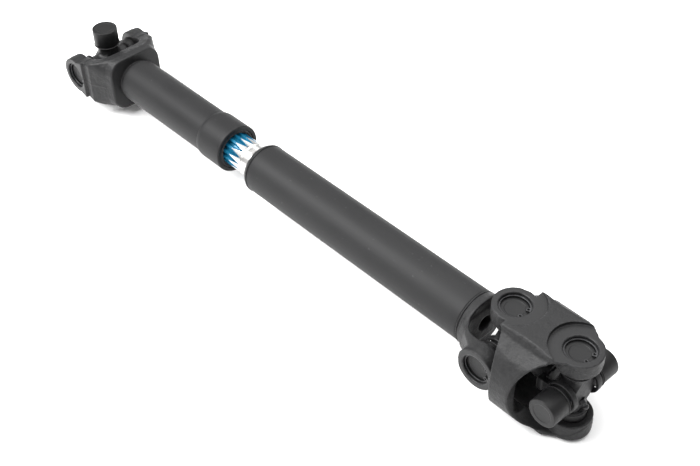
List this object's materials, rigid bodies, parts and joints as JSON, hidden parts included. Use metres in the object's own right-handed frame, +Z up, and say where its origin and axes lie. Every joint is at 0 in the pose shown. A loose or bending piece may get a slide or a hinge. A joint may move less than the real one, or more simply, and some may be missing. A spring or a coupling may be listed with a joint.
{
  "type": "universal joint shaft",
  "caption": "Telescoping drive shaft with a plain universal joint at one end, a blue-coated spline and a double-cardan joint at the other.",
  "frame": {"origin": "on the shaft axis, half way between the pinion joint centre and the outer cardan joint centre", "axes": "+X along the shaft from the pinion joint to the double-cardan joint, +Y to the far side, +Z up along the pinion joint's loose caps"},
  "size_m": [0.6978, 0.101, 0.097],
  "materials": {
    "black_paint": "satin black paint over cast and forged steel",
    "bare_steel": "bare ground steel",
    "spring_steel": "painted-over spring steel",
    "spline_coating": "glossy blue low-friction coating on the spline teeth, bare steel shank",
    "cap_black": "satin black pressed steel",
    "cross_black": "satin black forged steel",
    "seal_rubber": "matt dark rubber"
  },
  "bodies": {
    "shaft": {"splined_stub": "spline_coating", "weld_bead_front": "black_paint", "main_tube": "black_paint", "weld_bead_back": "black_paint", "tube_yoke": "black_paint", "tube_yoke_cap_near": "cap_black", "tube_yoke_cap_far": "cap_black", "tube_yoke_seal_near": "seal_rubber", "tube_yoke_seal_far": "seal_rubber", "tube_yoke_snap_ring_near": "spring_steel", "tube_yoke_snap_ring_far": "spring_steel", "centering_ball_fork": "bare_steel"},
    "slip_end": {"slip_yoke": "black_paint", "slip_yoke_cap_near": "cap_black", "slip_yoke_cap_far": "cap_black", "slip_yoke_seal_near": "seal_rubber", "slip_yoke_seal_far": "seal_rubber", "slip_yoke_snap_ring_near": "spring_steel", "slip_yoke_snap_ring_far": "spring_steel", "welch_plug": "black_paint", "dust_collar": "black_paint", "spline_seal": "seal_rubber"},
    "pinion_spider": {"pinion_cross": "cross_black", "pinion_cross_fitting": "bare_steel"},
    "pinion_bearing_top": {"pinion_cap_top": "cap_black", "pinion_seal_top": "seal_rubber", "pinion_needles_top": "bare_steel"},
    "pinion_bearing_bottom": {"pinion_cap_bottom": "cap_black", "pinion_seal_bottom": "seal_rubber", "pinion_needles_bottom": "bare_steel"},
    "inner_spider": {"inner_cross": "cross_black", "inner_cross_fitting": "bare_steel"},
    "coupling": {"centre_yoke": "black_paint", "centre_yoke_inner_cap_top": "cap_black", "centre_yoke_inner_cap_bottom": "cap_black", "centre_yoke_inner_seal_top": "seal_rubber", "centre_yoke_inner_seal_bottom": "seal_rubber", "centre_yoke_inner_snap_ring_top": "spring_steel", "centre_yoke_inner_snap_ring_bottom": "spring_steel", "centre_yoke_outer_cap_top": "cap_black", "centre_yoke_outer_cap_bottom": "cap_black", "centre_yoke_outer_seal_top": "seal_rubber", "centre_yoke_outer_seal_bottom": "seal_rubber", "centre_yoke_outer_snap_ring_top": "spring_steel", "centre_yoke_outer_snap_ring_bottom": "spring_steel"},
    "outer_spider": {"outer_cross": "cross_black", "outer_cross_fitting": "bare_steel"},
    "outer_bearing_near": {"outer_cap_near": "cap_black", "outer_seal_near": "seal_rubber", "outer_needles_near": "bare_steel"},
    "outer_bearing_far": {"outer_cap_far": "cap_black", "outer_seal_far": "seal_rubber", "outer_needles_far": "bare_steel"},
    "centering_socket": {"centering_socket_fork": "bare_steel", "ball_seat": "bare_steel", "centering_spring": "bare_steel"}
  },
  "joints": [
    {"name": "spline_slide", "type": "slide", "parent": "shaft", "child": "slip_end", "axis": [1, 0, 0], "range_m": [-0.03, 0.034]},
    {"name": "pinion_pitch", "type": "hinge", "parent": "slip_end", "child": "pinion_spider", "pos_m": [-0.32925, 0, 0], "axis": [0, 1, 0], "range_deg": [-25, 25]},
    {"name": "pinion_cap_top_spin", "type": "hinge", "parent": "pinion_spider", "child": "pinion_bearing_top", "pos_m": [-0.32925, 0, 0], "axis": [0, 0, 1], "continuous": true},
    {"name": "pinion_cap_bottom_spin", "type": "hinge", "parent": "pinion_spider", "child": "pinion_bearing_bottom", "pos_m": [-0.32925, 0, 0], "axis": [0, 0, 1], "continuous": true},
    {"name": "inner_pitch", "type": "hinge", "parent": "shaft", "child": "inner_spider", "pos_m": [0.26175, 0, 0], "axis": [0, 1, 0], "range_deg": [-15, 15]},
    {"name": "inner_yaw", "type": "hinge", "parent": "inner_spider", "child": "coupling", "pos_m": [0.26175, 0, 0], "axis": [0, 0, 1], "range_deg": [-15, 15]},
    {"name": "outer_yaw", "type": "hinge", "parent": "coupling", "child": "outer_spider", "pos_m": [0.32925, 0, 0], "axis": [0, 0, 1], "range_deg": [-15, 15]},
    {"name": "outer_pitch", "type": "hinge", "parent": "outer_spider", "child": "centering_socket", "pos_m": [0.32925, 0, 0], "axis": [0, 1, 0], "range_deg": [-15, 15]},
    {"name": "outer_cap_near_spin", "type": "hinge", "parent": "outer_spider", "child": "outer_bearing_near", "pos_m": [0.32925, 0, 0], "axis": [0, 1, 0], "continuous": true},
    {"name": "outer_cap_far_spin", "type": "hinge", "parent": "outer_spider", "child": "outer_bearing_far", "pos_m": [0.32925, 0, 0], "axis": [0, 1, 0], "continuous": true}
  ],
  "couplings": [
    {"joint": "outer_yaw", "follows": "inner_yaw", "ratio": 1},
    {"joint": "outer_pitch", "follows": "inner_pitch", "ratio": 1}
  ]
}
